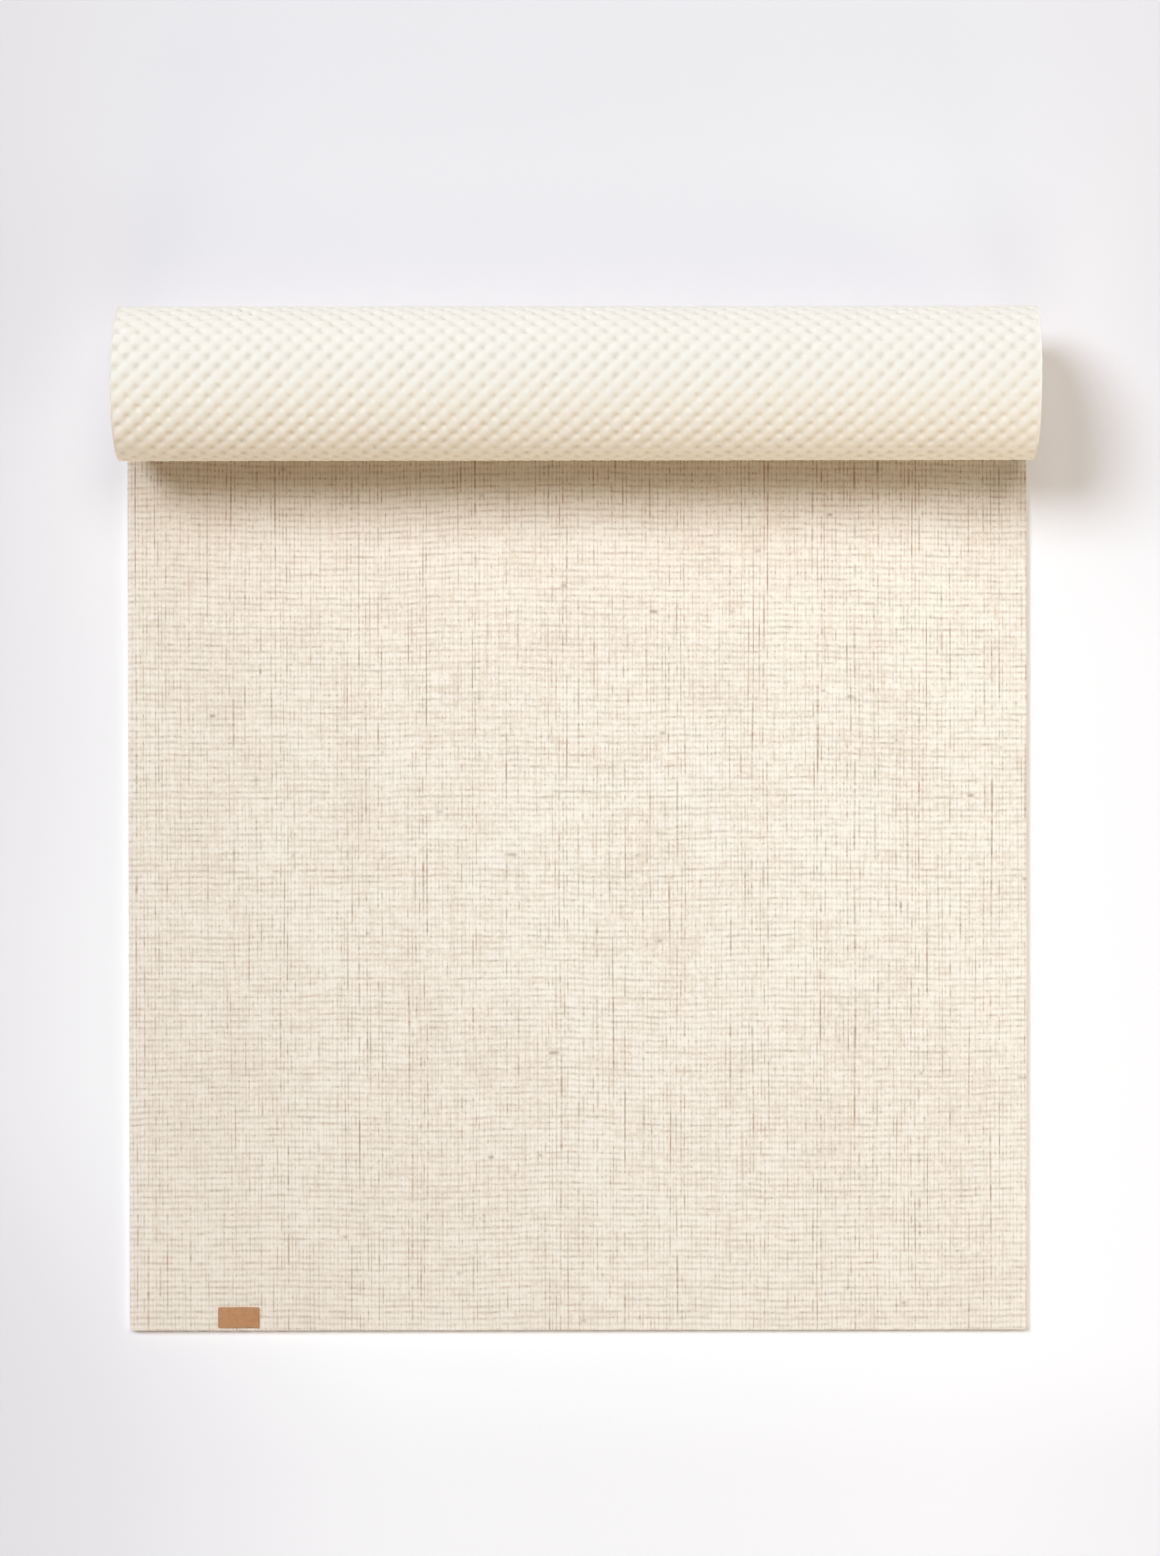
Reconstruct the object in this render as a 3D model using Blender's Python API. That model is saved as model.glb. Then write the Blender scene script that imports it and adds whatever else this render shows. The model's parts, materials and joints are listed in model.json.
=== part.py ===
"""A yoga mat, partly rolled: a woven jute face bonded to a cushioning foam sheet, with a leather label.

The near part of the mat lies flat on the floor, and the rest is wound up towards the viewer on top of it, woven face
inwards, so the roll shows the foam's grip side. The mat bends anywhere, so it is cut across into strips that are
hinged in a row. The flat strips fold up along the woven face, to wind the rest of the mat on to the roll. The
strips of the roll's outermost half lap fold out along the grip side, to let the roll down on to the floor.

Units are metres and +Z is up. The origin is the middle of the mat's footprint, on the floor: X runs along the roll,
and +Y points from the label end towards the roll.
"""

import math

import bmesh
import bpy

# The mat
MAT_WIDTH = 0.610
MAT_LENGTH = 1.730
FLAT_LENGTH = 0.637
COVER_THICKNESS = 0.0008
FOAM_THICKNESS = 0.0039
LAYER_GAP = 0.0003

# The roll, and the strips that the mat is cut into
ROLL_DEPTH = 0.103
LAP_GAP = 0.0007
STRIP_GAP = 0.0003
NEAR_END_LENGTH = 0.050
FLAT_STRIP_COUNT = 18
LAP_STRIP_COUNT = 9
FACETS_PER_LAP_STRIP = 4
LAP_STRIPS_LAP_SHARE = 0.5

# The leather label
LABEL_LENGTH = 0.028
LABEL_DEPTH = 0.014
LABEL_THICKNESS = 0.0010
LABEL_CORNER_RADIUS = 0.0010
LABEL_CORNER_SEGMENTS = 3
LABEL_GAP = 0.0003
LABEL_FROM_NEAR_EDGE = 0.0020
LABEL_FROM_LEFT_EDGE = 0.060

# Sizes that follow from the ones above
COVER_HEIGHT = FOAM_THICKNESS + LAYER_GAP
MAT_THICKNESS = COVER_HEIGHT + COVER_THICKNESS
LAP_PITCH = MAT_THICKNESS + LAP_GAP
RADIUS_LOST_PER_RADIAN = LAP_PITCH / math.tau
FIRST_RADIUS = (ROLL_DEPTH + LAP_PITCH) / 2
ROLLED_LENGTH = MAT_LENGTH - FLAT_LENGTH
LAST_RADIUS = math.sqrt(FIRST_RADIUS**2 - 2 * RADIUS_LOST_PER_RADIAN * ROLLED_LENGTH)
LAST_TURN = (FIRST_RADIUS - LAST_RADIUS) / RADIUS_LOST_PER_RADIAN

# The roll reaches furthest back a quarter turn on from the line where the mat lifts off the floor
ROLL_BEHIND_LIFT_LINE = FIRST_RADIUS + RADIUS_LOST_PER_RADIAN * (1 - math.pi / 2)
LIFT_LINE_Y = (FLAT_LENGTH - ROLL_BEHIND_LIFT_LINE) / 2
NEAR_EDGE_Y = LIFT_LINE_Y - FLAT_LENGTH

# The last flat strip is half as long as the others, so the roll stands at the middle of a whole one
FLAT_STRIP_LENGTH = (FLAT_LENGTH - NEAR_END_LENGTH) / (FLAT_STRIP_COUNT - 0.5)
LAP_STRIPS_TURN = math.tau * LAP_STRIPS_LAP_SHARE
LAP_STRIP_TURN = LAP_STRIPS_TURN / LAP_STRIP_COUNT

FOAM_COLOUR = (0.86, 0.82, 0.70, 1.0)
COVER_COLOUR = (0.74, 0.66, 0.54, 1.0)
LEATHER_COLOUR = (0.50, 0.25, 0.11, 1.0)


def roll_point(turn, depth):
    """The (y, z) of the wound mat where it has turned by `turn` radians, `depth` in from its grip side.

    The grip side follows the involute of a small circle, whose laps all lie one pitch apart.
    """
    radius = FIRST_RADIUS - RADIUS_LOST_PER_RADIAN * turn - depth
    y = LIFT_LINE_Y + RADIUS_LOST_PER_RADIAN * (1 - math.cos(turn)) + radius * math.sin(turn)
    z = FIRST_RADIUS - RADIUS_LOST_PER_RADIAN * math.sin(turn) - radius * math.cos(turn)
    return y, z


def radius_at(turn):
    """The grip side's radius of curvature at a turn."""
    return FIRST_RADIUS - RADIUS_LOST_PER_RADIAN * turn


def flat_hinge_y(number):
    """Where a flat strip starts, counted from one at the near end."""
    return NEAR_EDGE_Y + NEAR_END_LENGTH + FLAT_STRIP_LENGTH * (number - 1)


def evenly(start, end, steps):
    """Values from start to end, both included."""
    return [start + (end - start) * step / steps for step in range(steps + 1)]


def finish(name, colour, roughness):
    """A plain finish with the part's colour."""
    made = bpy.data.materials.get(name) or bpy.data.materials.new(name)
    made.use_nodes = True
    made.diffuse_color = colour
    shader = made.node_tree.nodes["Principled BSDF"]
    shader.inputs["Base Color"].default_value = colour
    shader.inputs["Roughness"].default_value = roughness
    shader.inputs["Metallic"].default_value = 0.0
    return made


def foam_finish():
    return finish("cream_foam", FOAM_COLOUR, 0.75)


def cover_finish():
    return finish("woven_jute", COVER_COLOUR, 0.9)


def leather_finish():
    return finish("tan_leather", LEATHER_COLOUR, 0.55)


def hinge(name, y, z, carrier):
    """An empty on a hinge line, carried by the hinge before it."""
    line = bpy.data.objects.new(name, None)
    bpy.context.scene.collection.objects.link(line)
    line.location = (0, y, z)
    if carrier is not None:
        line.parent = carrier
        line.location = (0, y - carrier["line_y"], z - carrier["line_z"])
    line["line_y"] = y
    line["line_z"] = z
    return line


def place(name, bm, made, line):
    """Makes a named object of a bmesh, with its material and with its origin on its hinge line."""
    if line is not None:
        bmesh.ops.translate(bm, verts=bm.verts, vec=(0, -line["line_y"], -line["line_z"]))
    mesh = bpy.data.meshes.new(name)
    bm.to_mesh(mesh)
    bm.free()
    mesh.materials.append(made)
    piece = bpy.data.objects.new(name, mesh)
    bpy.context.scene.collection.objects.link(piece)
    piece.parent = line
    return piece


def band(lower, upper):
    """A closed solid as wide as the mat, between two rows of (y, z) points that run side by side."""
    bm = bmesh.new()
    half = MAT_WIDTH / 2
    low = [bm.verts.new((-half, y, z)) for y, z in lower]
    high = [bm.verts.new((-half, y, z)) for y, z in upper]
    side = [
        bm.faces.new((low[at], low[at + 1], high[at + 1], high[at]))
        for at in range(len(low) - 1)
    ]
    swept = bmesh.ops.extrude_face_region(bm, geom=side, use_keep_orig=True)
    moved = [item for item in swept["geom"] if isinstance(item, bmesh.types.BMVert)]
    bmesh.ops.translate(bm, verts=moved, vec=(MAT_WIDTH, 0, 0))
    bmesh.ops.recalc_face_normals(bm, faces=bm.faces)
    return bm


def flat_band(near, far, bottom, top):
    """One layer of a flat stretch."""
    return band([(near, bottom), (far, bottom)], [(near, top), (far, top)])


def wound_band(turns, outer_depth, inner_depth):
    """One layer of a wound stretch, through the given turns."""
    outer = [roll_point(turn, outer_depth) for turn in turns]
    inner = [roll_point(turn, inner_depth) for turn in turns]
    return band(outer, inner)


def flat_stretch(name, near, far, line):
    """The foam and the woven face of a flat stretch."""
    place(f"{name}_foam", flat_band(near, far, 0, FOAM_THICKNESS), foam_finish(), line)
    place(f"{name}_cover", flat_band(near, far, COVER_HEIGHT, MAT_THICKNESS), cover_finish(), line)


def wound_stretch(name, turns, line):
    """The foam and the woven face of a wound stretch."""
    place(f"{name}_foam", wound_band(turns, 0, FOAM_THICKNESS), foam_finish(), line)
    place(f"{name}_cover", wound_band(turns, COVER_HEIGHT, MAT_THICKNESS), cover_finish(), line)


def near_end():
    """The end of the mat that carries the label and stays where it lies. Its underside is what the mat rests on."""
    flat_stretch("near_end", NEAR_EDGE_Y, flat_hinge_y(1) - STRIP_GAP / 2, None)


def flat_strips():
    """The rest of the flat part, each strip hinged to the one before it along the woven face."""
    line = None
    for number in range(1, FLAT_STRIP_COUNT + 1):
        near = flat_hinge_y(number)
        far = min(near + FLAT_STRIP_LENGTH, LIFT_LINE_Y)
        line = hinge(f"flat_hinge_{number:02d}", near, MAT_THICKNESS, line)
        flat_stretch(f"flat_strip_{number:02d}", near + STRIP_GAP / 2, far - STRIP_GAP / 2, line)
    return line


def lap_strips(line):
    """The roll's outermost half lap, each strip hinged to the one before it along the grip side."""
    for number in range(1, LAP_STRIP_COUNT + 1):
        start = LAP_STRIP_TURN * (number - 1)
        end = start + LAP_STRIP_TURN
        line = hinge(f"lap_hinge_{number:02d}", *roll_point(start, 0), line)
        first = start + STRIP_GAP / 2 / radius_at(start)
        last = end - STRIP_GAP / 2 / radius_at(end)
        wound_stretch(f"lap_strip_{number:02d}", evenly(first, last, FACETS_PER_LAP_STRIP), line)
    return line


def rest_of_roll(line):
    """The rest of the roll, which keeps its winding."""
    line = hinge("roll_hinge", *roll_point(LAP_STRIPS_TURN, 0), line)
    first = LAP_STRIPS_TURN + STRIP_GAP / 2 / radius_at(LAP_STRIPS_TURN)
    facets = math.ceil((LAST_TURN - first) / LAP_STRIP_TURN * FACETS_PER_LAP_STRIP)
    wound_stretch("roll", evenly(first, LAST_TURN, facets), line)


def leather_label():
    """The small leather label near the mat's left corner, on the woven face."""
    bm = bmesh.new()
    bmesh.ops.create_cube(bm, size=1.0)
    bmesh.ops.scale(bm, verts=bm.verts, vec=(LABEL_LENGTH, LABEL_DEPTH, LABEL_THICKNESS))
    upright = [edge for edge in bm.edges if edge.verts[0].co.xy == edge.verts[1].co.xy]
    bmesh.ops.bevel(
        bm,
        geom=upright,
        offset=LABEL_CORNER_RADIUS,
        segments=LABEL_CORNER_SEGMENTS,
        profile=0.5,
        affect="EDGES",
        material=-1,
    )
    label = place("leather_label", bm, leather_finish(), None)
    label.location = (
        LABEL_FROM_LEFT_EDGE + LABEL_LENGTH / 2 - MAT_WIDTH / 2,
        NEAR_EDGE_Y + LABEL_FROM_NEAR_EDGE + LABEL_DEPTH / 2,
        MAT_THICKNESS + LABEL_GAP + LABEL_THICKNESS / 2,
    )


def main():
    for old in list(bpy.data.objects):
        bpy.data.objects.remove(old)
    near_end()
    leather_label()
    line = flat_strips()
    line = lap_strips(line)
    rest_of_roll(line)


main()
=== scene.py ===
"""Dresses a partly rolled yoga mat: a dimpled foam base, a woven jute face and a small bare leather label.

The mat is one sheet. A place on it is given by how far across it lies, how far along it lies from the near
edge, and how high it lies above the foam's grip side. One function turns such a place into a point of the
room, on the floor or in the roll. The sheet is made in stretches that reach from the middle of one hinged
strip to the middle of the next, so each stretch spans one hinge and its ends stay square to the next.
"""

import json
import math

import bmesh
import bpy
import numpy as np
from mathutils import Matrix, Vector

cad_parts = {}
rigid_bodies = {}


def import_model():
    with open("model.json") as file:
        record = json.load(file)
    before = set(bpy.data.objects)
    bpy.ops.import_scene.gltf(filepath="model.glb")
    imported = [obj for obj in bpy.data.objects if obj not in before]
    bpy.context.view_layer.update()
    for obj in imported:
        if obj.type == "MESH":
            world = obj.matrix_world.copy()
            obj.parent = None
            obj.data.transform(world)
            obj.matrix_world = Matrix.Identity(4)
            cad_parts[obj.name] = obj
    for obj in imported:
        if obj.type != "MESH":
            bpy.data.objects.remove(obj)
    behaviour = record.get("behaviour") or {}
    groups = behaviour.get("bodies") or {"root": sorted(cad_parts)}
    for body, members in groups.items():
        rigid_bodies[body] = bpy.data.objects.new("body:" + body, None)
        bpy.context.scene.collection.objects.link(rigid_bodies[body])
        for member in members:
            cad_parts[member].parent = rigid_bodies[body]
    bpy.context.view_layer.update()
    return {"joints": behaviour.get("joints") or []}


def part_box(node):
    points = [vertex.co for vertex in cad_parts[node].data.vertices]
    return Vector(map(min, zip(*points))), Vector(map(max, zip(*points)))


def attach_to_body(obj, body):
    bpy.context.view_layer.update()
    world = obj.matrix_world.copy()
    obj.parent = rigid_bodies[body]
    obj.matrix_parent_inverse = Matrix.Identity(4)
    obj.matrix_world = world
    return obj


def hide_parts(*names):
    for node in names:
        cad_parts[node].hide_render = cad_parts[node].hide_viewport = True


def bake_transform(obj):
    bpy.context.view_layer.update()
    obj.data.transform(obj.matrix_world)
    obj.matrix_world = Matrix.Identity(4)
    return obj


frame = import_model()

bl_info = {
    "name": "Rolled Yoga Mat",
    "version": (1, 0, 0),
    "blender": (4, 5, 0),
    "location": "View3D > Sidebar > Yoga Mat",
    "description": "Dresses a partly rolled yoga mat in dimpled foam, woven jute and leather",
    "category": "Object",
}

# The hinge lines, in order from the near end to the roll
FLAT_JOINTS = [joint for joint in frame["joints"] if joint["name"].startswith("flat_fold")]
LAP_JOINTS = [joint for joint in frame["joints"] if not joint["name"].startswith("flat_fold")]

# The sheet's sizes, read from the frame
NEAR_LOW, NEAR_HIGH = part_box("near_end_foam")
COVER_LOW, COVER_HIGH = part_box("near_end_cover")
HALF_WIDTH = NEAR_HIGH.x
NEAR_Y = NEAR_LOW.y
COVER_DEPTH = COVER_LOW.z
SHEET_DEPTH = COVER_HIGH.z
LIFT_Y = LAP_JOINTS[0]["pos_m"][1]
FLAT_LENGTH = LIFT_Y - NEAR_Y
STRIP_LENGTH = FLAT_JOINTS[1]["pos_m"][1] - FLAT_JOINTS[0]["pos_m"][1]
STRIP_TURN = math.pi / (len(LAP_JOINTS) - 1)

# The grip side winds along the involute of a small circle, whose size the hinge line half a turn in gives
SHRINK = (LAP_JOINTS[-1]["pos_m"][1] - LIFT_Y) / 2
FIRST_RADIUS = (LAP_JOINTS[-1]["pos_m"][2] + SHRINK * math.pi) / 2

# How often the laps swing out of line in each turn, and how much the pits' depths differ
DRIFT_SWINGS_PER_TURN = 1.3
PIT_UNEVENNESS_SHARE = 0.3

# How finely the layers are meshed
GRIP_COLUMNS = 456
PLAIN_COLUMNS = 24
FACE_COLUMNS = 48
GRIP_ROWS_PER_DIMPLE = 10
GRIP_ROWS_PER_PLAIN_ROW = 3
FACE_ROW_STEP = 0.0020
NORMAL_STEP = 0.0004
EDGE_ARC = [math.radians(angle) for angle in (30, 60, 90)]
CORNER_ROW_SHARES = np.array([0.03, 0.12, 0.27, 0.48, 0.75, 1.0])
SQUARE_EDGE_SHARE = 0.2
LEAST_ROW_SHARE = 0.3
FOLD_CHOICES = (1, 2, 3, 4, 6)
SEAM_GAP = 1e-7
LEVEL_GAP = 1e-5

# Where the bake's square holds the main face, the edges and the two ends, as shares of its side
FACE_MARGIN_SHARE = 0.004
FACE_BAKE_SHARE = 0.94
BAND_MARGIN_SHARE = 0.003
EDGE_BAKE_START_SHARE = 0.945
EDGE_BAKE_SHARE = 0.018
END_MARGIN_SHARE = 0.01
END_BAKE_START_SHARE = 0.968
END_BAKE_STEP_SHARE = 0.014
END_BAKE_SHARE = 0.01

# The floor reaches far past the mat and lies just under its foam
FLOOR_REACH = 60.0
FLOOR_DROP = 0.0003


class MatSizes(bpy.types.PropertyGroup):
    """Sizes of the sheet and of its surfaces."""

    length: bpy.props.FloatProperty(
        name="Length", description="Length of the whole sheet", default=1.730, unit="LENGTH"
    )
    dimple_across: bpy.props.FloatProperty(
        name="Dimple spacing across", description="From one dimple to the next in a row", default=0.013355,
        unit="LENGTH",
    )
    dimple_along: bpy.props.FloatProperty(
        name="Dimple spacing along", description="From one row to the next but one", default=0.0136,
        unit="LENGTH",
    )
    dimple_depth: bpy.props.FloatProperty(
        name="Furrow depth", description="Depth of the grip side's slanting furrows", default=0.00060,
        unit="LENGTH",
    )
    slant_share: bpy.props.FloatProperty(
        name="Slant", description="Share of the furrows that slant one way, the rest slant the other way",
        default=0.72,
    )
    pit_depth: bpy.props.FloatProperty(
        name="Pit depth", description="Depth of the pits in the furrows", default=0.00115, unit="LENGTH"
    )
    pit_sharpness: bpy.props.FloatProperty(
        name="Pit sharpness", description="How narrow the pits are", default=3.5,
    )
    bend: bpy.props.FloatProperty(
        name="Bend", description="How far from a hinge line the sheet bends", default=0.010, unit="LENGTH"
    )
    lap_bend: bpy.props.FloatProperty(
        name="Lap bend", description="How far from a hinge line the roll's outer lap bends", default=0.003,
        unit="LENGTH",
    )
    foam_edge: bpy.props.FloatProperty(
        name="Foam edge", description="Radius of the foam's lower edge", default=0.0005, unit="LENGTH"
    )
    cover_edge: bpy.props.FloatProperty(
        name="Face edge", description="Radius of the woven face's edge", default=0.0003, unit="LENGTH"
    )
    corner: bpy.props.FloatProperty(
        name="Corner", description="Radius of the sheet's corners", default=0.0016, unit="LENGTH"
    )
    drift: bpy.props.FloatProperty(
        name="Lap drift", description="How far the laps lie out of line at the roll's ends", default=0.0006,
        unit="LENGTH",
    )
    mesh_spacing: bpy.props.FloatProperty(
        name="Mesh spacing", description="Between the threads of the mesh inside the foam", default=0.0014,
        unit="LENGTH",
    )
    label_corner: bpy.props.FloatProperty(
        name="Label corner", description="Radius of the label's corners", default=0.0010, unit="LENGTH"
    )
    label_rim: bpy.props.FloatProperty(
        name="Label rim", description="Radius of the label's upper edge", default=0.00030, unit="LENGTH"
    )
    warp: bpy.props.FloatProperty(
        name="Warp spacing", description="Between the yarns that run along the sheet", default=0.00257,
        unit="LENGTH",
    )
    weft: bpy.props.FloatProperty(
        name="Weft spacing", description="Between the yarns that run across the sheet", default=0.00412,
        unit="LENGTH",
    )


class MatColours(bpy.types.PropertyGroup):
    """Colours of the foam, the yarns and the leather."""

    foam: bpy.props.FloatVectorProperty(
        name="Foam", description="Cream of the foam", subtype="COLOR", size=3, default=(0.915, 0.87, 0.775)
    )
    # Painted shade towards the bottom of each dimple, and also the tone of the foam's random mottle
    foam_pit: bpy.props.FloatVectorProperty(
        name="Dimples", description="Foam at the bottom of a dimple", subtype="COLOR", size=3,
        default=(0.83, 0.77, 0.66),
    )
    scrim: bpy.props.FloatVectorProperty(
        name="Mesh", description="Threads of the mesh inside the foam, where the cut edge shows them",
        subtype="COLOR", size=3, default=(0.95, 0.94, 0.90),
    )
    yarn: bpy.props.FloatVectorProperty(
        name="Yarn", description="Cream cotton yarn", subtype="COLOR", size=3, default=(0.99, 0.93, 0.83)
    )
    jute: bpy.props.FloatVectorProperty(
        name="Jute", description="Beige jute yarn", subtype="COLOR", size=3, default=(0.86, 0.755, 0.625)
    )
    # Painted shade and shadow on the cloth, and the darker gaps between weft rows, mix the yarn towards this
    # tone
    deep: bpy.props.FloatVectorProperty(
        name="Deeper tone", description="Yarn where the cloth is darkest", subtype="COLOR", size=3,
        default=(0.71, 0.62, 0.51),
    )
    # Painted shadow: the warmer, browner yarn tone painted where the roll's shadow falls on the cloth in
    # front of it
    wound: bpy.props.FloatVectorProperty(
        name="Wound yarn", description="Warmer tone where the sheet starts to wind", subtype="COLOR", size=3,
        default=(0.80, 0.60, 0.40),
    )
    gap: bpy.props.FloatVectorProperty(
        name="Gaps", description="Shade between the yarns", subtype="COLOR", size=3,
        default=(0.41, 0.325, 0.24),
    )
    rust: bpy.props.FloatVectorProperty(
        name="Rust", description="Redder jute in the gaps", subtype="COLOR", size=3,
        default=(0.50, 0.315, 0.22),
    )
    slub: bpy.props.FloatVectorProperty(
        name="Slubs", description="Dark knots in the jute", subtype="COLOR", size=3,
        default=(0.30, 0.20, 0.15),
    )
    leather: bpy.props.FloatVectorProperty(
        name="Leather", description="Tan of the label", subtype="COLOR", size=3, default=(0.595, 0.297, 0.131)
    )
    leather_dark: bpy.props.FloatVectorProperty(
        name="Leather pores", description="Pores and burnished edge of the label", subtype="COLOR", size=3,
        default=(0.30, 0.13, 0.05),
    )


class StageSettings(bpy.types.PropertyGroup):
    """The floor, the light and the camera."""

    floor_dim: bpy.props.FloatVectorProperty(
        name="Floor, dim", description="Floor far from its brightest place", subtype="COLOR", size=3,
        default=(0.775, 0.750, 0.772),
    )
    floor_bright: bpy.props.FloatVectorProperty(
        name="Floor, bright", description="Floor at its brightest place", subtype="COLOR", size=3,
        default=(0.98, 0.968, 0.972),
    )
    backdrop: bpy.props.FloatVectorProperty(
        name="Backdrop", description="Colour seen beyond the floor", subtype="COLOR", size=3,
        default=(0.76, 0.75, 0.78),
    )
    sky: bpy.props.FloatProperty(name="Sky", description="Strength of the even light", default=0.09)
    sky_colour: bpy.props.FloatVectorProperty(
        name="Sky colour", description="Colour of the even light", subtype="COLOR", size=3,
        default=(1.0, 0.93, 0.78),
    )
    sun: bpy.props.FloatProperty(
        name="Sun", description="Strength of the soft light from the far left", default=1.96
    )
    sun_colour: bpy.props.FloatVectorProperty(
        name="Sun colour", description="Colour of the light from the far left", subtype="COLOR", size=3,
        default=(0.903, 1.0, 1.12),
    )
    top: bpy.props.FloatProperty(
        name="Top", description="Strength of the soft light from behind", default=1.25
    )
    top_colour: bpy.props.FloatVectorProperty(
        name="Top colour", description="Colour of the light from behind", subtype="COLOR", size=3,
        default=(1.055, 1.0, 0.94),
    )
    fill: bpy.props.FloatProperty(
        name="Fill", description="Strength of the low light from the front", default=1.28
    )
    fill_colour: bpy.props.FloatVectorProperty(
        name="Fill colour", description="Colour of the light from the front", subtype="COLOR", size=3,
        default=(1.255, 1.0, 0.70),
    )
    side: bpy.props.FloatProperty(name="Side", description="Power of the panel to the right", default=2.2)
    side_colour: bpy.props.FloatVectorProperty(
        name="Side colour", description="Colour of the panel to the right", subtype="COLOR", size=3,
        default=(1.12, 1.0, 0.82),
    )
    camera_x: bpy.props.FloatProperty(
        name="Camera X", description="Place across the mat", default=0.0018, unit="LENGTH"
    )
    camera_height: bpy.props.FloatProperty(
        name="Camera height", description="Height above the floor", default=2.80, unit="LENGTH"
    )
    camera_y: bpy.props.FloatProperty(
        name="Camera Y", description="Place along the mat", default=0.0680, unit="LENGTH"
    )
    camera_pitch: bpy.props.FloatProperty(
        name="Camera pitch", description="Lean towards the viewer", default=-0.0135, subtype="ANGLE"
    )
    camera_roll: bpy.props.FloatProperty(
        name="Camera roll", description="Turn of the picture", default=-0.0015, subtype="ANGLE"
    )
    camera_lens: bpy.props.FloatProperty(
        name="Camera lens", description="Focal length in heights of the picture", default=2.645
    )


def sizes():
    return bpy.context.scene.mat_sizes


def colours():
    return bpy.context.scene.mat_colours


def turn_at(along):
    """How far the sheet has turned, in radians, that far from its near edge."""
    wound = np.maximum(along - FLAT_LENGTH, 0)
    return (FIRST_RADIUS - np.sqrt(np.maximum(FIRST_RADIUS**2 - 2 * SHRINK * wound, 0))) / SHRINK


def along_at(turn):
    """How far from the near edge the sheet has turned by that angle."""
    return FLAT_LENGTH + FIRST_RADIUS * turn - SHRINK * turn**2 / 2


def sheet_points(across, along, depth):
    """Points of the room for places on the sheet, as an array with a last axis of three."""
    turn = turn_at(along)
    radius = FIRST_RADIUS - SHRINK * turn - depth
    y = LIFT_Y + np.minimum(along - FLAT_LENGTH, 0) + SHRINK * (1 - np.cos(turn)) + radius * np.sin(turn)
    z = FIRST_RADIUS - SHRINK * np.sin(turn) - radius * np.cos(turn)
    side = sizes().drift * np.sin(turn * DRIFT_SWINGS_PER_TURN) * np.minimum(turn, 1)
    return np.stack(np.broadcast_arrays(across + side, y, z), axis=-1)


def dimples(across, along):
    """Depth of the grip side: slanting furrows, with a row of pits in each, no two quite alike."""
    size = sizes()
    x, y = math.tau * across / size.dimple_across, math.tau * along / size.dimple_along
    furrow = (1 + size.slant_share * np.cos(x + y) + (1 - size.slant_share) * np.cos(x - y)) / 2
    pit = ((1 + np.cos(x) * np.cos(y)) / 2) ** size.pit_sharpness
    waves = np.sin(across * 97 + along * 31) * np.sin(along * 83 - across * 41)
    uneven = 1 + PIT_UNEVENNESS_SHARE * waves
    return size.dimple_depth * furrow + size.pit_depth * uneven * pit


class Section:
    """The outline of one layer, square to the sheet, as a closed ring of places across and depths."""

    def __init__(self, main, rest, relief):
        self.main = len(main)
        ring = main + rest + main[:1]
        self.across = np.array([place[0] for place in ring])
        self.depth = np.array([place[1] for place in ring])
        self.relief = np.array(relief + [0.0] * (len(ring) - len(relief) - 1) + relief[:1])


def foam_section(columns, bottom_relief):
    """The foam: a dimpled grip side, a rounded lower edge and a square upper one under the woven face."""
    edge = sizes().foam_edge
    inner = HALF_WIDTH - edge
    top = COVER_DEPTH
    grip = [(float(x), 0.0) for x in np.linspace(-inner, inner, columns + 1)]
    right = [(inner + edge * math.sin(a), edge * (1 - math.cos(a))) for a in EDGE_ARC]
    cut = edge * SQUARE_EDGE_SHARE
    right += [(HALF_WIDTH, top * 0.5), (HALF_WIDTH, top - cut), (HALF_WIDTH - cut, top)]
    left = [(-x, depth) for x, depth in reversed(right)]
    return Section(grip, right + left, [bottom_relief] * len(grip))


def cover_section(columns):
    """The woven face: a thin layer with rounded edges, lying on the foam."""
    edge = sizes().cover_edge
    inner = HALF_WIDTH - edge
    face = [(float(x), SHEET_DEPTH) for x in np.linspace(inner, -inner, columns + 1)]
    left = [(-inner - edge * math.sin(a), SHEET_DEPTH - edge * (1 - math.cos(a))) for a in EDGE_ARC]
    cut = edge * SQUARE_EDGE_SHARE
    left += [(-HALF_WIDTH, COVER_DEPTH + cut), (-HALF_WIDTH + cut, COVER_DEPTH)]
    right = [(-x, depth) for x, depth in reversed(left)]
    return Section(face, left + right, [0.0] * len(face))


def ring_places(section, along):
    """Points of every row of a stretch, where `along` is the row's place on the sheet."""
    rows = along[:, None]
    corner = sizes().corner
    from_corner = np.clip(1 - rows / corner, 0, 1)
    inset = corner * (1 - np.sqrt(1 - from_corner**2))
    across = section.across[None, :] * (1 - inset / HALF_WIDTH)
    depth = section.depth[None, :] + section.relief[None, :] * dimples(across, rows)
    return sheet_points(across, rows, depth)


def ring_normals(section, along):
    """Outward normals of every row, from the rows and columns on each side, so that stretches meet unseen."""
    ahead, behind = ring_places(section, along + NORMAL_STEP), ring_places(section, along - NORMAL_STEP)
    rows = ring_places(section, along)[:, :-1]
    across = np.roll(rows, -1, axis=1) - np.roll(rows, 1, axis=1)
    normals = np.cross((ahead - behind)[:, :-1], across)
    normals /= np.linalg.norm(normals, axis=-1, keepdims=True)
    return np.concatenate([normals, normals[:, :1]], axis=1)


def cloth_map(section, along):
    """Where each point of the rows lies on the sheet's own flat pattern, in metres."""
    main = np.arange(len(section.across)) < section.main
    face_depth = section.depth[0]
    side = np.where(main, 0, np.abs(section.depth - face_depth))
    u = section.across + HALF_WIDTH + np.sign(section.across) * side
    u = np.broadcast_to(u[None, :], (len(along), len(u)))
    v = np.broadcast_to(along[:, None], u.shape)
    return np.stack([u, v], axis=-1)


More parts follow.
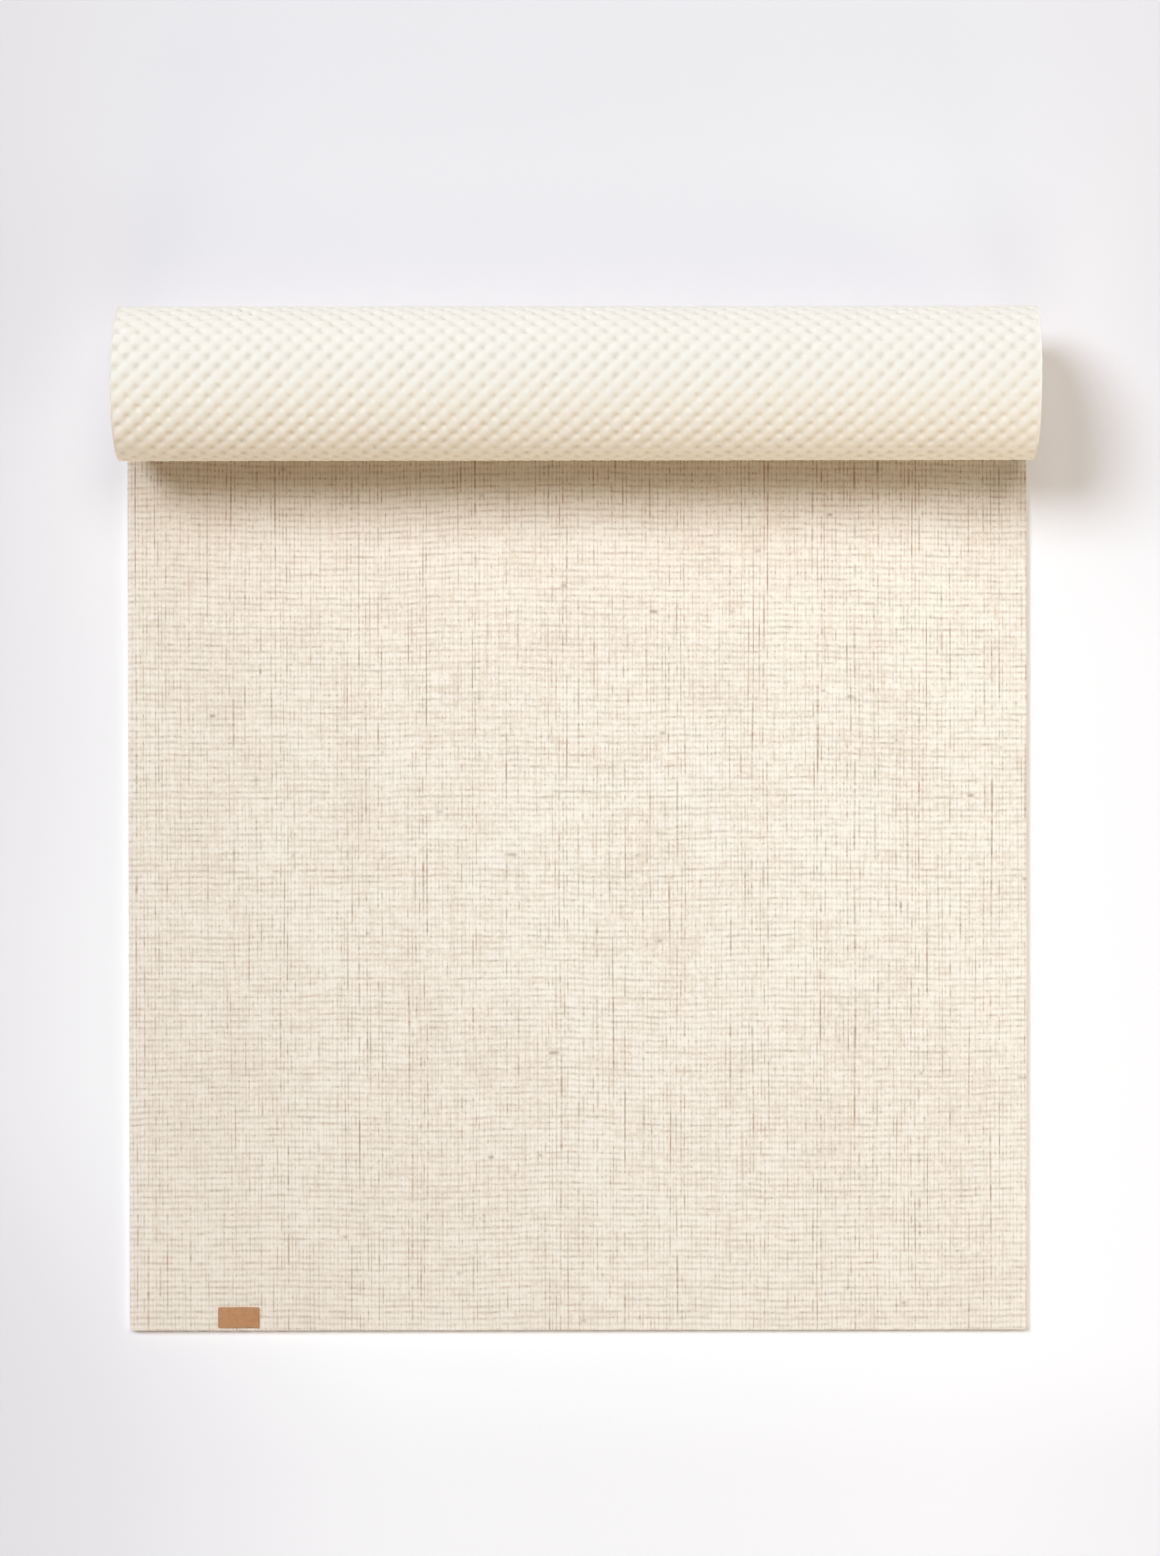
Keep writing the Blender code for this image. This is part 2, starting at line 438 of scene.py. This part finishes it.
def bake_map(section, column, row, rows, folds):
    """Where a corner of a face lies on the square that its finish is baked to.

    The main face is folded into a few bands side by side, so that a long narrow stretch fills the square.
    """
    face_column = column.min(axis=1)
    steps = section.main - 1
    per_fold = steps // folds
    fold = np.minimum(face_column // per_fold, folds - 1)
    band = FACE_BAKE_SHARE / folds
    u = (column - fold[:, None] * per_fold) / per_fold
    v = row / (rows - 1)
    main = face_column < steps
    main_u = FACE_MARGIN_SHARE + (1 - 2 * FACE_MARGIN_SHARE) * u
    main_v = BAND_MARGIN_SHARE + band * fold[:, None] + (band - 2 * BAND_MARGIN_SHARE) * v
    rest = len(section.across) - 1 - steps
    rest_u = FACE_MARGIN_SHARE + (1 - 2 * FACE_MARGIN_SHARE) * (column - steps) / rest
    rest_v = EDGE_BAKE_START_SHARE + EDGE_BAKE_SHARE * v
    return np.stack(
        [np.where(main[:, None], main_u, rest_u), np.where(main[:, None], main_v, rest_v)], axis=-1
    )


def make_layer(name, section, along, folds, material):
    """One closed layer of a stretch: a grid, bent into a tube of that section and filled at both ends."""
    rows, columns = len(along), len(section.across)
    bm = bmesh.new()
    bmesh.ops.create_grid(bm, x_segments=columns - 1, y_segments=rows - 1, size=1.0)
    mesh = bpy.data.meshes.new(name)
    bm.to_mesh(mesh)
    bm.free()

    flat = np.empty(rows * columns * 3)
    mesh.vertices.foreach_get("co", flat)
    flat = flat.reshape(-1, 3)
    column = np.rint((flat[:, 0] + 1) / 2 * (columns - 1)).astype(int)
    row = np.rint((flat[:, 1] + 1) / 2 * (rows - 1)).astype(int)
    places = ring_places(section, along)
    places[:, -1] = places[:, 0]
    mesh.vertices.foreach_set("co", places[row, column].ravel())
    normal = mesh.attributes.new("sheet_normal", "FLOAT_VECTOR", "POINT")
    normal.data.foreach_set("vector", ring_normals(section, along)[row, column].ravel())

    corner = np.empty(len(mesh.loops), int)
    mesh.loops.foreach_get("vertex_index", corner)
    pattern = mesh.uv_layers.new(name="UVMap")
    pattern.data.foreach_set("uv", cloth_map(section, along)[row[corner], column[corner]].ravel())
    folded = mesh.uv_layers.new(name="OFBake")
    by_face = corner.reshape(-1, 4)
    folded.data.foreach_set("uv", bake_map(section, column[by_face], row[by_face], rows, folds).ravel())

    bm = bmesh.new()
    bm.from_mesh(mesh)
    bmesh.ops.remove_doubles(bm, verts=[v for v in bm.verts if v.is_boundary], dist=SEAM_GAP)
    open_edges = [edge for edge in bm.edges if edge.is_boundary]
    ends = bmesh.ops.holes_fill(bm, edges=open_edges, sides=0)["faces"]
    fill_ends(bm, ends, along[0])
    bmesh.ops.recalc_face_normals(bm, faces=bm.faces)
    bm.to_mesh(mesh)
    bm.free()
    set_normals(mesh, len(ends))
    mesh.materials.append(material)
    piece = bpy.data.objects.new(name, mesh)
    bpy.context.scene.collection.objects.link(piece)
    return piece


def fill_ends(bm, ends, first_along):
    """Maps the two filled ends: across the sheet, and down from its near edge."""
    pattern, folded = bm.loops.layers.uv["UVMap"], bm.loops.layers.uv["OFBake"]
    for number, face in enumerate(ends):
        for loop in face.loops:
            point = loop.vert.co
            share = (point.x + HALF_WIDTH) / (2 * HALF_WIDTH)
            depth = point.z if first_along == 0 else 0
            loop[pattern].uv = (point.x + HALF_WIDTH, first_along - depth)
            u = END_MARGIN_SHARE + (1 - 2 * END_MARGIN_SHARE) * share
            start = END_BAKE_START_SHARE + END_BAKE_STEP_SHARE * number
            loop[folded].uv = (u, start + END_BAKE_SHARE * depth / SHEET_DEPTH)


def set_normals(mesh, end_count):
    """Shades a layer by the sheet's own normals, and its filled ends flat."""
    mesh.shade_smooth()
    corner = np.empty(len(mesh.loops), int)
    mesh.loops.foreach_get("vertex_index", corner)
    own = np.empty(len(mesh.vertices) * 3)
    mesh.attributes["sheet_normal"].data.foreach_get("vector", own)
    by_corner = own.reshape(-1, 3)[corner]
    for face in list(mesh.polygons)[len(mesh.polygons) - end_count:]:
        by_corner[face.loop_start:face.loop_start + face.loop_total] = face.normal
    mesh.attributes.remove(mesh.attributes["sheet_normal"])
    mesh.normals_split_custom_set(by_corner.tolist())


class Stretch:
    """A part of the sheet between two places along it, and the bodies on either side of its hinge, or the one
    body it lies on.
    """

    def __init__(self, name, start, end, bodies, nodes, bend=None):
        self.name = name
        self.start = start
        self.end = end
        self.bodies = bodies
        self.nodes = nodes
        self.bend = bend


def stretches():
    """The whole sheet, from the near edge to the end inside the roll."""
    found = []
    hinges = [joint["pos_m"][1] - NEAR_Y for joint in FLAT_JOINTS]
    start = hinges[0] - STRIP_LENGTH / 2
    found.append(Stretch("near_end", 0.0, start, ["near_end"], ["near_end"]))
    for number, (joint, hinge) in enumerate(zip(FLAT_JOINTS, hinges), start=1):
        reach = min(STRIP_LENGTH, FLAT_LENGTH - hinge) / 2
        bend = (hinge - sizes().bend, hinge + sizes().bend)
        bodies = [joint["parent"], joint["child"]]
        found.append(Stretch(f"fold_{number:02d}", start, hinge + reach, bodies, [joint["child"]], bend))
        start = hinge + reach
    for number, joint in enumerate(LAP_JOINTS, start=1):
        end = float(along_at(STRIP_TURN * (number - 0.5)))
        bodies = [joint["parent"], joint["child"]]
        hinge = float(along_at(STRIP_TURN * (number - 1)))
        bend = (hinge - sizes().lap_bend, hinge + sizes().lap_bend)
        found.append(Stretch(f"lap_{number:02d}", start, end, bodies, [joint["child"]], bend))
        start = end
    ends = [float(along_at(turn)) for turn in (math.tau + STRIP_TURN / 2, math.tau * 1.5 + STRIP_TURN)]
    for name, end in zip(("outer_roll", "middle_roll", "inner_roll"), (*ends, sizes().length)):
        found.append(Stretch(name, start, end, ["roll"], ["roll"]))
        start = end
    return found


def attach(piece, stretch, node_suffix):
    """Makes a piece move with its body, or fixes it where it lies if it spans a hinge, and lets it stand for
    its nodes.
    """
    if stretch.bend is None:
        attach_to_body(piece, stretch.bodies[0])
    else:
        start, end = (Vector(sheet_points(0.0, place, 0.0)) for place in stretch.bend)
        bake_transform(piece)
    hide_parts(*(f"{node}_{node_suffix}" for node in stretch.nodes))


def rows_of(stretch, step):
    """Places of a stretch's rows: every multiple of the step, both ends, and more at the rounded corners."""
    first = math.ceil(stretch.start / step + LEAST_ROW_SHARE)
    last = math.floor(stretch.end / step - LEAST_ROW_SHARE)
    rows = np.concatenate([[stretch.start], np.arange(first, last + 1) * step, [stretch.end]])
    if stretch.start == 0:
        rows = np.union1d(rows, CORNER_ROW_SHARES * sizes().corner)
    return rows


def folds_of(stretch):
    """How many bands the bake folds a stretch into to fill a square. The columns divide by each choice."""
    shape = math.sqrt(2 * HALF_WIDTH / (stretch.end - stretch.start))
    return min(FOLD_CHOICES, key=lambda folds: abs(folds - shape))


class Value:
    """A number or colour in a material, on which Python's arithmetic adds Math nodes."""

    def __init__(self, graph, socket):
        self.graph = graph
        self.socket = socket

    def maths(self, operation, *others):
        node = self.graph.add("Math", {"operation": operation}, 0, self, *others)
        return Value(self.graph, node.outputs[0])

    def __add__(self, other):
        return self.maths("ADD", other)

    def __sub__(self, other):
        return self.maths("SUBTRACT", other)

    def __mul__(self, other):
        return self.maths("MULTIPLY", other)

    def __truediv__(self, other):
        return self.maths("DIVIDE", other)

    def __pow__(self, other):
        return self.maths("POWER", other)

    def __rsub__(self, other):
        return self.graph.number(other).maths("SUBTRACT", self)

    __radd__ = __add__
    __rmul__ = __mul__

    def floor(self):
        return self.maths("FLOOR")

    def fraction(self):
        return self.maths("FRACT")

    def cosine(self):
        return self.maths("COSINE")

    def size(self):
        return self.maths("ABSOLUTE")

    def least(self, other):
        return self.maths("MINIMUM", other)

    def most(self, other):
        return self.maths("MAXIMUM", other)

    def above(self, low, high):
        """0 up to `low`, 1 from `high`, and a smooth step between."""
        node = self.graph.add(
            "MapRange", {"interpolation_type": "SMOOTHSTEP"}, 0, self, low, high
        )
        return Value(self.graph, node.outputs[0])


class Graph:
    """The nodes of one material."""

    def __init__(self, name, roughness, specular=0.5, sheen=0.0):
        self.material = bpy.data.materials.new(name)
        self.material.use_nodes = True
        self.tree = self.material.node_tree
        self.shader = self.tree.nodes["Principled BSDF"]
        self.shader.inputs["Roughness"].default_value = roughness
        self.shader.inputs["Specular IOR Level"].default_value = specular
        self.shader.inputs["Sheen Weight"].default_value = sheen

    def add(self, kind, settings, first, *inputs, **named):
        """Adds a node of that type with its settings, and feeds its sockets, from `first` on or by name."""
        node = self.tree.nodes.new(f"ShaderNode{kind}")
        for key, setting in settings.items():
            setattr(node, key, setting)
        for socket, value in [(node.inputs[first + at], value) for at, value in enumerate(inputs)] + [
            (node.inputs[key], value) for key, value in named.items()
        ]:
            self.feed(socket, value)
        return node

    def feed(self, socket, value):
        if isinstance(value, Value):
            self.tree.links.new(value.socket, socket)
        elif socket.type == "RGBA" and len(value) == 3:
            socket.default_value = (*value, 1.0)
        else:
            socket.default_value = value

    def number(self, value):
        node = self.add("Value", {}, 0)
        node.outputs[0].default_value = value
        return Value(self, node.outputs[0])

    def pattern(self):
        """The sheet's own flat pattern, in metres: across and along."""
        uv = self.add("UVMap", {"uv_map": "UVMap"}, 0)
        split = self.add("SeparateXYZ", {}, 0, Value(self, uv.outputs[0]))
        return Value(self, split.outputs[0]), Value(self, split.outputs[1])

    def object_place(self):
        place = self.add("TexCoord", {}, 0)
        return Value(self, place.outputs["Object"])

    def join(self, x, y, z=0.0):
        return Value(self, self.add("CombineXYZ", {}, 0, x, y, z).outputs[0])

    def noise(self, vector, scale=1.0, detail=1.0, roughness=0.5):
        node = self.add(
            "TexNoise", {}, 0, Vector=vector, Scale=scale, Detail=detail, Roughness=roughness
        )
        return Value(self, node.outputs["Fac"])

    def chance(self, vector):
        """A number from 0 to 1 that is the same wherever the vector is."""
        node = self.add("TexWhiteNoise", {"noise_dimensions": "3D"}, 0, Vector=vector)
        return Value(self, node.outputs["Value"])

    def mix(self, factor, first, second):
        node = self.add("Mix", {"data_type": "RGBA"}, 0)
        for name, value in (("Factor_Float", factor), ("A_Color", first), ("B_Color", second)):
            self.feed(next(s for s in node.inputs if s.identifier == name), value)
        return Value(self, next(s for s in node.outputs if s.identifier == "Result_Color"))

    def finish(self, colour, height, distance):
        """Feeds the shader its colour and its relief, which is `distance` high."""
        self.feed(self.shader.inputs["Base Color"], colour)
        bump = self.add("Bump", {}, 0, Strength=1.0, Distance=distance, Height=height)
        self.tree.links.new(bump.outputs[0], self.shader.inputs["Normal"])
        return self.material


def foam_material():
    """Cream closed-cell foam, with painted shade in the dimples and a random mottle. The cut edges show the
    mesh inside.
    """
    size, colour = sizes(), colours()
    g = Graph("grip_foam", 0.62, 0.35, 0.15)
    across, along = g.pattern()
    middle = across - HALF_WIDTH
    wave = (middle * (math.tau / size.dimple_across)).cosine()
    wave = wave * (along * (math.tau / size.dimple_along)).cosine()
    pit = ((wave + 1) * 0.5) ** size.pit_sharpness
    beyond = (middle.size() - HALF_WIDTH).most(0 - along)
    on_face = 1 - beyond.above(-0.0002, 0.0002)
    cells = g.noise(g.join(across, along, beyond), 2600, 2.0)
    mottle = g.noise(g.join(across, along), 26, 3.0)
    # Painted shade: the foam darkens towards the bottom of each dimple, where shade falls
    base = g.mix(pit * on_face * 0.9, colour.foam, colour.foam_pit)
    base = g.mix((mottle - 0.5).size() * 0.5, base, colour.foam_pit)
    thread = 1 - (beyond - COVER_DEPTH * 0.5).size().above(0.00008, 0.00016)
    crossing = ((across + along) * (math.tau / size.mesh_spacing)).cosine().above(-0.2, 0.5)
    base = g.mix(thread * crossing * 0.8, base, colour.scrim)
    grain = g.noise(g.join(across, along, beyond), 900, 3.0, 0.6)
    return g.finish(base, grain * 0.6 + cells * 0.4, 0.00012)


def weave_material():
    """Plain weave of cream cotton warp and beige jute weft, with uneven yarns, dark gaps, a few slubs, and
    painted shade and shadow.
    """
    size, colour = sizes(), colours()
    g = Graph("woven_jute_face", 0.88, 0.2, 0.25)
    across, along = g.pattern()

    # Where the yarns and the lines between them run, a little uneven
    wander = g.noise(g.join(across * 150, along * 4.0), 1.0, 2.0)
    sway = g.noise(g.join(across * 6, along * 2.5, 4.0), 1.0, 1.0)
    ripple = g.noise(g.join(across * 55, along * 25, 6.0), 1.0, 1.0)
    warp = (across + (wander - 0.5) * 0.0045) / size.warp
    weft = (along + (sway - 0.5) * 0.0100 + (ripple - 0.5) * 0.0022) / size.weft
    warp_line, weft_line = (warp + 0.5).floor(), (weft + 0.5).floor()
    warp_yarn, weft_yarn = warp.floor(), weft.floor()
    warp_edge, weft_edge = (warp - warp_line).size(), (weft - weft_line).size()

    # Dark gaps between the yarns, in runs along the warp and dashes along the weft
    warp_luck = g.chance(g.join(warp_line, 3.0)) ** 2
    run = g.noise(g.join(warp_line * 7.3, along * 75), 1.0, 3.0, 0.65).above(0.40, 0.68)
    streak = g.noise(g.join(warp_line * 3.7, along * 12), 1.0, 2.0).above(0.50, 0.72)
    warp_side = 1 - warp_edge.above(0.02, 0.34)
    warp_dark = (run * (warp_luck * 0.62 + 0.28) + 0.07 + streak * warp_luck * 0.85) * warp_side
    weft_luck = g.chance(g.join(weft_line, 4.0))
    dash = g.noise(g.join(across * 75, weft_line * 5.7), 1.0, 3.0, 0.65).above(0.40, 0.70)
    weft_side = 1 - weft_edge.above(0.02, 0.30)
    weft_dark = dash * (weft_luck * 0.34 + 0.22) * weft_side
    sunk = g.noise(g.join(across * 55, weft_line * 9.1), 1.0, 2.0).above(0.30, 0.70)
    valley = (1 - weft_edge.above(0.05, 0.50)) * (sunk * 0.38 + weft_luck * 0.06 + 0.02)
    crossing = warp_side * weft_side * g.chance(g.join(warp_line, weft_line, 5.0)) ** 2

    # Which yarn lies over the other
    over = ((warp_yarn + weft_yarn) * 0.5).fraction() * 2
    warp_round, weft_round = (warp_edge * 2) ** 0.5, (weft_edge * 2) ** 0.5
    height = (warp_round * (over * 0.5 + 0.5)).most(weft_round * (1 - over * 0.5))

    # How beige the cream yarn is, in fibres, stitches, yarns and clouds
    fibre = g.noise(g.join(across * 650, along * 600), 1.0, 2.0, 0.7)
    cell = g.chance(g.join(warp_yarn, (weft * 2).floor(), 9.0))
    cloud = g.noise(g.join(across * 1.5, along, 2.0), 8, 8.0, 0.68)
    warm = g.noise(g.join(across * 1.3, along, 8.0), 34, 4.0, 0.65).above(0.38, 0.64)
    tone = g.noise(g.join(warp_yarn * 5.1, along * 24), 1.0, 2.0).above(0.48, 0.74)
    band = g.noise(g.join(across * 30, weft_yarn * 7.7), 1.0, 3.0, 0.6) - 0.5
    beige = (cloud - 0.37) * 1.9 + (cell - 0.5) * 0.55 + (fibre - 0.5) * 2.1
    beige = beige + tone * 0.45 + band * 1.6 - across * 0.22
    base = g.mix(beige.most(0.0).least(1.0), colour.yarn, colour.jute)

    # Painted shade towards the left and near ends, and painted shadow, warmer and browner, in front of the
    # roll
    # Painted shade: the yarn darkens towards the left and the near end, standing in for light that falls off
    # there
    painted_light_falloff = (1 - across.above(-0.05, 0.36)) * 0.22 + (1 - along.above(-0.10, 0.36)) * 0.29
    outside = 1 - along.above(0.60, 0.80)
    # Painted shadow: a strip of darker yarn in front of the roll, where its shadow fades out; it fades away
    # inside the roll
    painted_shadow_fringe = along.above(0.48, 0.56) * outside
    # Painted shadow beneath the roll's front edge, reaching less far out from the roll at the left end
    under = (along - (1 - across.above(-0.305, -0.265)) * 0.03).above(0.535, 0.59) * outside
    painted_shade_and_row_gaps = painted_light_falloff + painted_shadow_fringe * (across.above(-0.20, 0.10) * 0.13 + 0.08) + valley
    base = g.mix(painted_shade_and_row_gaps.least(0.9), base, colour.deep)
    # Painted shadow: under the roll the yarn turns warmer and browner, more so to the left, its gaps redder
    # and its dark threads darker
    base = g.mix(under * (0.21 - across * 0.30), base, colour.wound)
    shade = g.mix((warm + under * 0.5).least(1.0), colour.gap, colour.rust)
    dark = warp_dark.most(weft_dark) * 0.80 + crossing * 0.46
    base = g.mix((dark * (under * 0.5 + 1)).least(0.95), base, shade)

    # Dark knots in the weft, flecks in the warp and faint stains
    knot = g.noise(g.join(across * 60, weft_yarn * 17.3), 1.0, 2.0).above(0.69, 0.79)
    knot = knot * (1 - (weft - weft_yarn - 0.5).size().above(0.15, 0.40))
    fleck = g.noise(g.join(warp_line * 13.1, along * 70), 1.0, 2.0).above(0.70, 0.81)
    fleck = fleck * (1 - warp_edge.above(0.10, 0.35))
    stain = g.noise(g.join(across * 2.5, along, 12.0), 55, 3.0, 0.6).above(0.64, 0.76)
    base = g.mix(stain * 0.22, base, colour.rust)
    base = g.mix((knot * 0.55).most(fleck * 0.60), base, colour.slub)
    return g.finish(base, height * 0.8 + fibre * 0.2, 0.00030)


def leather_material():
    """Smooth tan leather with fine pores."""
    colour = colours()
    g = Graph("tan_label_leather", 0.48, 0.45)
    place = g.object_place()
    cells = g.add("TexVoronoi", {"feature": "DISTANCE_TO_EDGE"}, 0, Vector=place, Scale=2200.0)
    pores = Value(g, cells.outputs["Distance"]).above(0.02, 0.16)
    mottle = g.noise(place, 260, 3.0, 0.6)
    base = g.mix((1 - pores) * 0.35, colour.leather, colour.leather_dark)
    base = g.mix((mottle - 0.45).above(0.0, 0.35) * 0.4, base, colour.leather_dark)
    return g.finish(base, pores * 0.6 + mottle * 0.4, 0.00012)


class YOGAMAT_OT_foam(bpy.types.Operator):
    """Builds the dimpled foam base, one piece for each stretch of the sheet"""

    bl_idname = "yoga_mat.grip_foam"
    bl_label = "Foam base"

    def execute(self, context):
        material = foam_material()
        dimpled, plain = foam_section(GRIP_COLUMNS, 1.0), foam_section(PLAIN_COLUMNS, 0.0)
        step = sizes().dimple_along / GRIP_ROWS_PER_DIMPLE
        for stretch in stretches():
            inner = stretch.name == "inner_roll"
            section = plain if inner else dimpled
            rows = rows_of(stretch, step * GRIP_ROWS_PER_PLAIN_ROW if inner else step)
            piece = make_layer(f"{stretch.name}_grip_foam", section, rows, folds_of(stretch), material)
            attach(piece, stretch, "foam")
        return {"FINISHED"}


class YOGAMAT_OT_cover(bpy.types.Operator):
    """Builds the woven face, one piece for each stretch of the sheet"""

    bl_idname = "yoga_mat.woven_face"
    bl_label = "Woven face"

    def execute(self, context):
        material = weave_material()
        section = cover_section(FACE_COLUMNS)
        for stretch in stretches():
            rows = rows_of(stretch, FACE_ROW_STEP)
            piece = make_layer(f"{stretch.name}_woven_face", section, rows, folds_of(stretch), material)
            attach(piece, stretch, "cover")
            flat = (2 * HALF_WIDTH, stretch.end - stretch.start)
        return {"FINISHED"}


class YOGAMAT_OT_label(bpy.types.Operator):
    """Builds the small bare leather label"""

    bl_idname = "yoga_mat.label"
    bl_label = "Leather label"

    def execute(self, context):
        low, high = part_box("leather_label")
        low.z = SHEET_DEPTH
        bm = bmesh.new()
        bmesh.ops.create_cube(bm, size=1.0)
        bmesh.ops.scale(bm, verts=bm.verts, vec=high - low)
        bmesh.ops.translate(bm, verts=bm.verts, vec=(low + high) / 2)
        upright = [edge for edge in bm.edges if abs(edge.verts[0].co.z - edge.verts[1].co.z) > LEVEL_GAP]
        bmesh.ops.bevel(
            bm, geom=upright, offset=sizes().label_corner, segments=5, profile=0.5, affect="EDGES",
            material=-1,
        )
        rim = [edge for edge in bm.edges if min(v.co.z for v in edge.verts) > high.z - LEVEL_GAP]
        bmesh.ops.bevel(
            bm, geom=rim, offset=sizes().label_rim, segments=3, profile=0.5, affect="EDGES", material=-1
        )
        bmesh.ops.recalc_face_normals(bm, faces=bm.faces)
        mesh = bpy.data.meshes.new("bare_leather_label")
        bm.to_mesh(mesh)
        bm.free()
        mesh.shade_smooth()
        mesh.set_sharp_from_angle(angle=math.radians(40))
        mesh.materials.append(leather_material())
        piece = bpy.data.objects.new("bare_leather_label", mesh)
        context.scene.collection.objects.link(piece)
        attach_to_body(piece, "near_end")
        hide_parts("leather_label")
        return {"FINISHED"}


class YOGAMAT_OT_stage(bpy.types.Operator):
    """Builds the pale floor, the soft light and the camera"""

    bl_idname = "yoga_mat.stage"
    bl_label = "Stage"

    def execute(self, context):
        scene, stage = context.scene, context.scene.mat_stage
        scene.view_settings.view_transform = "Standard"
        self.add_floor(scene, stage)
        self.add_sky(scene, stage)
        self.add_light(scene, stage)
        self.add_camera(scene, stage)
        return {"FINISHED"}

    def add_floor(self, scene, stage):
        bm = bmesh.new()
        bmesh.ops.create_grid(bm, x_segments=1, y_segments=1, size=FLOOR_REACH)
        bmesh.ops.translate(bm, verts=bm.verts, vec=(0, 0, -FLOOR_DROP))
        mesh = bpy.data.meshes.new("floor")
        bm.to_mesh(mesh)
        bm.free()
        g = Graph("pale_floor", 0.9, 0.1)
        split = g.add("SeparateXYZ", {}, 0, g.object_place())
        x, y = Value(g, split.outputs[0]), Value(g, split.outputs[1])
        # Painted light on the floor: dimmer towards the left, the right, the back and the front, and painted
        # shade in a band just behind the roll
        behind = y.above(0.31, 0.345) * (1 - y.above(0.35, 0.46)) * (1 - x.size().above(0.28, 0.36))
        back, front, right = y.above(0.10, 0.34), 1 - y.above(-0.45, -0.34), x.above(0.22, 0.48)
        # Painted light: the dim left side reaches less far in across the middle, beside the roll's left end
        # where its shadow falls, and behind the roll
        middle = 1 - (y + 0.12).size().above(0.04, 0.28) + y.above(0.34, 0.48) * 0.8
        middle = middle + (1 - (y - 0.20).size().above(0.02, 0.26)) * 0.8
        left = (x + middle * 0.10).above(-0.42, -0.10)
        lit = left * (1 - back * 0.48 - behind * 0.40 - front * 0.30 - right * 0.35)
        g.feed(g.shader.inputs["Base Color"], g.mix(lit, stage.floor_dim, stage.floor_bright))
        mesh.materials.append(g.material)
        floor = bpy.data.objects.new("floor", mesh)
        scene.collection.objects.link(floor)

    def add_sky(self, scene, stage):
        world = bpy.data.worlds.new("even_light")
        world.use_nodes = True
        tree = world.node_tree
        light = tree.nodes["Background"]
        light.inputs["Color"].default_value = (*stage.sky_colour, 1.0)
        light.inputs["Strength"].default_value = stage.sky
        backdrop = tree.nodes.new("ShaderNodeBackground")
        backdrop.inputs["Color"].default_value = (*stage.backdrop, 1.0)
        seen = tree.nodes.new("ShaderNodeMixShader")
        path = tree.nodes.new("ShaderNodeLightPath")
        tree.links.new(path.outputs["Is Camera Ray"], seen.inputs["Fac"])
        tree.links.new(light.outputs[0], seen.inputs[1])
        tree.links.new(backdrop.outputs[0], seen.inputs[2])
        tree.links.new(seen.outputs[0], tree.nodes["World Output"].inputs["Surface"])
        scene.world = world

    def add_light(self, scene, stage):
        self.add_sun(scene, "soft_sun", stage.sun, stage.sun_colour, 26, (-0.65, 0.50, 1.0))
        self.add_sun(scene, "soft_top", stage.top, stage.top_colour, 36, (0.10, 0.43, 1.0))
        self.add_sun(scene, "front_fill", stage.fill, stage.fill_colour, 40, (0.0, -1.0, 0.10))
        self.add_panel(scene, "side_panel", stage.side, stage.side_colour, 0.5, (1.20, -0.25, 0.35))

    def add_sun(self, scene, name, strength, colour, spread, towards):
        lamp = bpy.data.lights.new(name, "SUN")
        lamp.energy = strength
        lamp.angle = math.radians(spread)
        lamp.color = colour
        sun = bpy.data.objects.new(name, lamp)
        sun.rotation_euler = Vector(towards).to_track_quat("Z", "Y").to_euler()
        scene.collection.objects.link(sun)

    def add_panel(self, scene, name, strength, colour, size, place):
        lamp = bpy.data.lights.new(name, "AREA")
        lamp.energy = strength
        lamp.size = size
        lamp.color = colour
        panel = bpy.data.objects.new(name, lamp)
        panel.location = place
        panel.rotation_euler = Vector(place).to_track_quat("Z", "Y").to_euler()
        panel.visible_camera = False
        scene.collection.objects.link(panel)

    def add_camera(self, scene, stage):
        data = bpy.data.cameras.new("camera")
        data.sensor_fit = "VERTICAL"
        data.sensor_height = 24.0
        data.lens = stage.camera_lens * data.sensor_height
        data.clip_end = 20.0
        camera = bpy.data.objects.new("camera", data)
        camera.location = (stage.camera_x, stage.camera_y, stage.camera_height)
        camera.rotation_euler = (stage.camera_pitch, 0.0, stage.camera_roll)
        scene.collection.objects.link(camera)
        scene.camera = camera


OPERATORS = (YOGAMAT_OT_foam, YOGAMAT_OT_cover, YOGAMAT_OT_label, YOGAMAT_OT_stage)


class YOGAMAT_PT_panel(bpy.types.Panel):
    """Lists the mat's pieces and settings"""

    bl_idname = "YOGAMAT_PT_panel"
    bl_label = "Yoga Mat"
    bl_space_type = "VIEW_3D"
    bl_region_type = "UI"
    bl_category = "Yoga Mat"

    def draw(self, context):
        for operator in OPERATORS:
            self.layout.operator(operator.bl_idname)
        for settings in (context.scene.mat_sizes, context.scene.mat_colours, context.scene.mat_stage):
            box = self.layout.box()
            for name in settings.__annotations__:
                box.prop(settings, name)


CLASSES = (MatSizes, MatColours, StageSettings, *OPERATORS, YOGAMAT_PT_panel)


def register():
    for made in CLASSES:
        bpy.utils.register_class(made)
    bpy.types.Scene.mat_sizes = bpy.props.PointerProperty(type=MatSizes)
    bpy.types.Scene.mat_colours = bpy.props.PointerProperty(type=MatColours)
    bpy.types.Scene.mat_stage = bpy.props.PointerProperty(type=StageSettings)


def unregister():
    del bpy.types.Scene.mat_stage
    del bpy.types.Scene.mat_colours
    del bpy.types.Scene.mat_sizes
    for made in reversed(CLASSES):
        bpy.utils.unregister_class(made)


def main():
    register()
    bpy.ops.yoga_mat.stage()
    bpy.ops.yoga_mat.grip_foam()
    bpy.ops.yoga_mat.woven_face()
    bpy.ops.yoga_mat.label()
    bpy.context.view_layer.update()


if __name__ == "__main__":
    main()
